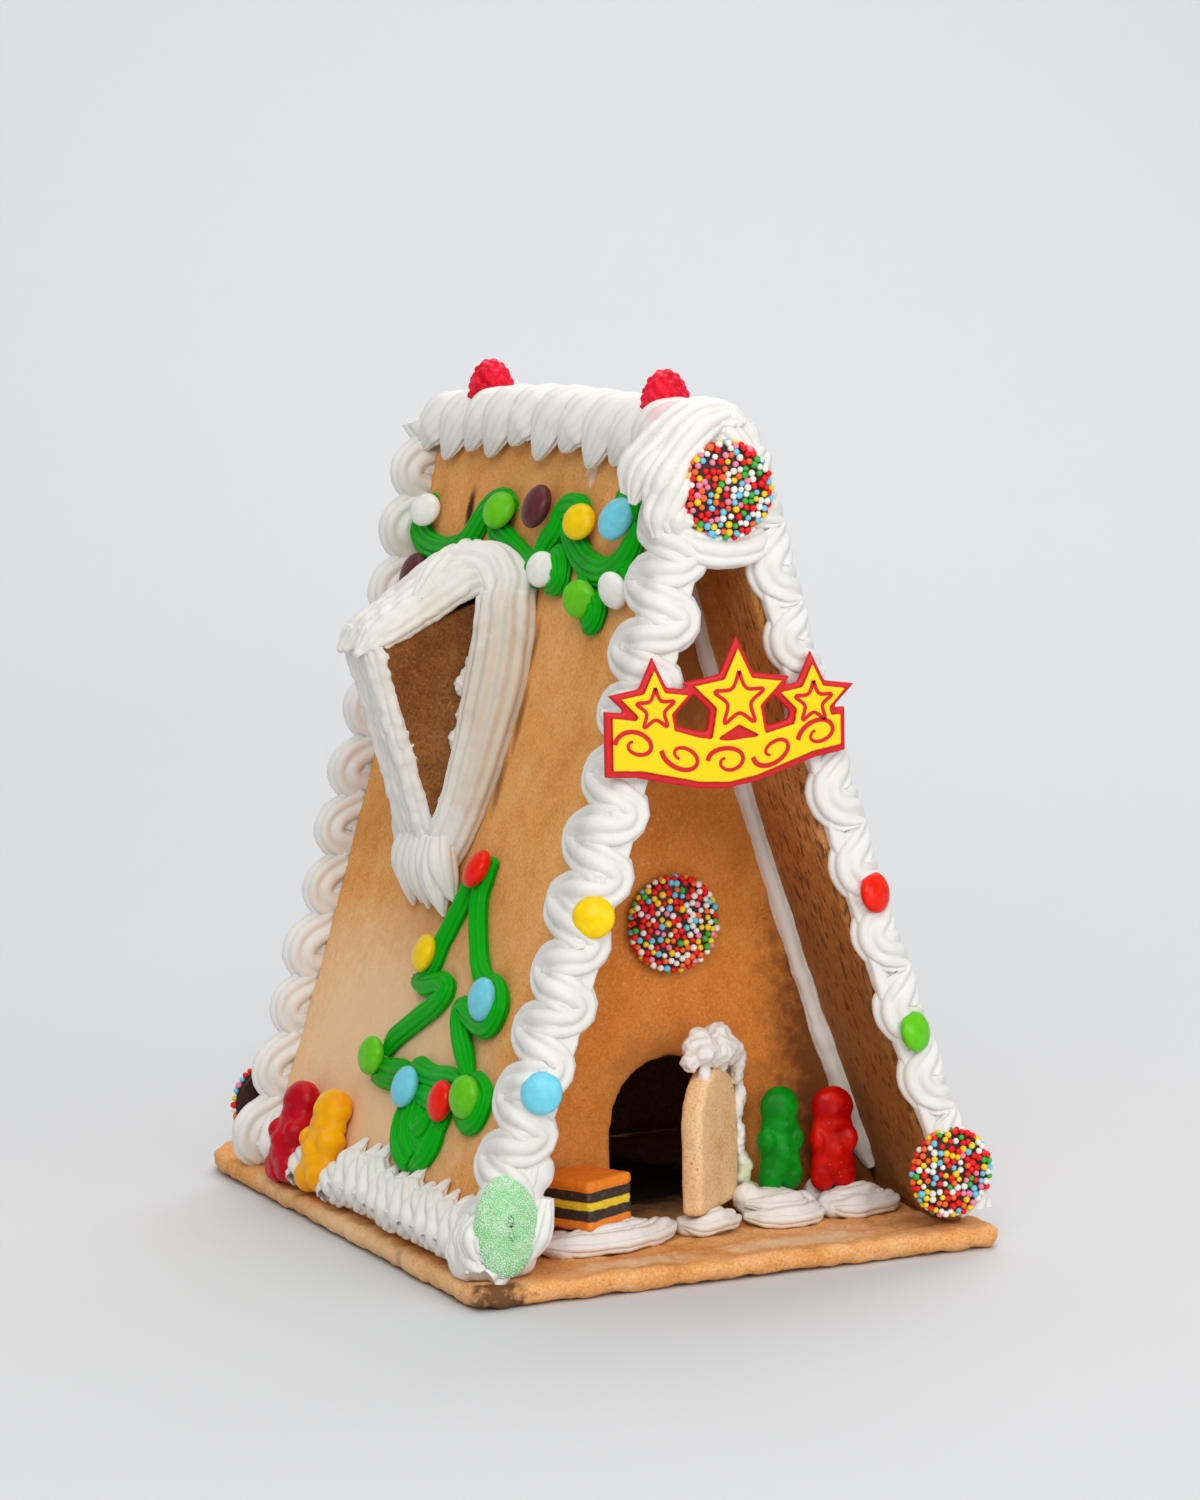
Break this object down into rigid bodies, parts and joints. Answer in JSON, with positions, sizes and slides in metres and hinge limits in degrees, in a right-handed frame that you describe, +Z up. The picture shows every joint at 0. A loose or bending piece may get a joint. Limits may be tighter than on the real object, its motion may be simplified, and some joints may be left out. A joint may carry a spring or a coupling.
{
  "type": "gingerbread house",
  "caption": "Gingerbread house on its gingerbread board, a tall A-frame with a dormer and open door, piped with white and green icing and set with sweets.",
  "frame": {"origin": "on the underside of the gingerbread board, below the middle of the house", "axes": "+Z up, -Y towards the front with the doorway, +X to the right seen from the front"},
  "size_m": [0.1967, 0.2705, 0.2981],
  "materials": {
    "gingerbread": "dry baked gingerbread, tan with darker toasted edges and fine pores",
    "icing_white": "satin white piped icing",
    "icing_green": "satin green piped icing with fine ridges",
    "chocolate": "dark chocolate covered with many coloured sugar pearls",
    "shell_white": "polished white sugar shell",
    "shell_green": "polished green sugar shell",
    "shell_brown": "polished brown sugar shell",
    "shell_yellow": "polished yellow sugar shell",
    "shell_blue": "polished light blue sugar shell",
    "shell_red": "polished red sugar shell",
    "jelly_crimson": "translucent dark red jelly with a dusty skin",
    "jelly_amber": "translucent amber jelly with a dusty skin",
    "jelly_green": "translucent green jelly",
    "jelly_red": "translucent red jelly",
    "jelly_pink": "translucent pink-red jelly with a bumpy dome",
    "sugared_green": "pale green jelly coated with sugar grains",
    "liquorice": "orange, black and yellow layers of liquorice paste",
    "plaque_red": "glossy red plastic",
    "plaque_yellow": "glossy yellow plastic"
  },
  "bodies": {
    "root": {"base_board": "gingerbread", "roof_left": "gingerbread", "roof_right": "gingerbread", "gable_front": "gingerbread", "gable_back": "gingerbread", "door": "gingerbread", "dormer_cheek_front": "gingerbread", "dormer_cheek_back": "gingerbread", "dormer_icing": "icing_white", "icing_front_left": "icing_white", "icing_front_right": "icing_white", "icing_back_left": "icing_white", "icing_back_right": "icing_white", "icing_ridge": "icing_white", "icing_base_left": "icing_white", "icing_base_right": "icing_white", "icing_seam_left": "icing_white", "icing_seam_right": "icing_white", "icing_bed_left": "icing_white", "icing_bed_door": "icing_white", "icing_bed_mid": "icing_white", "icing_bed_right": "icing_white", "icing_door_cap": "icing_white", "garland": "icing_green", "tree_outline": "icing_green", "tree_trunk": "icing_green", "freckle_top": "chocolate", "freckle_window": "chocolate", "freckle_foot_right": "chocolate", "freckle_foot_back": "chocolate", "garland_lentil_1_white": "shell_white", "garland_lentil_6_white": "shell_white", "garland_lentil_8_white": "shell_white", "garland_lentil_2_green": "shell_green", "garland_lentil_7_green": "shell_green", "tree_lentil_4_green": "shell_green", "tree_lentil_7_green": "shell_green", "edge_lentil_4_green": "shell_green", "garland_lentil_3_brown": "shell_brown", "garland_lentil_9_brown": "shell_brown", "garland_lentil_4_yellow": "shell_yellow", "tree_lentil_2_yellow": "shell_yellow", "edge_lentil_1_yellow": "shell_yellow", "garland_lentil_5_blue": "shell_blue", "tree_lentil_3_blue": "shell_blue", "tree_lentil_5_blue": "shell_blue", "edge_lentil_2_blue": "shell_blue", "tree_lentil_1_red": "shell_red", "tree_lentil_6_red": "shell_red", "edge_lentil_3_red": "shell_red", "jelly_figure_crimson": "jelly_crimson", "jelly_figure_amber": "jelly_amber", "jelly_figure_green": "jelly_green", "jelly_figure_red": "jelly_red", "raspberry_sweet_front": "jelly_pink", "raspberry_sweet_back": "jelly_pink", "sugar_oval": "sugared_green", "liquorice_cube": "liquorice", "plaque_backing": "plaque_red", "plaque_relief": "plaque_yellow"}
  },
  "joints": []
}
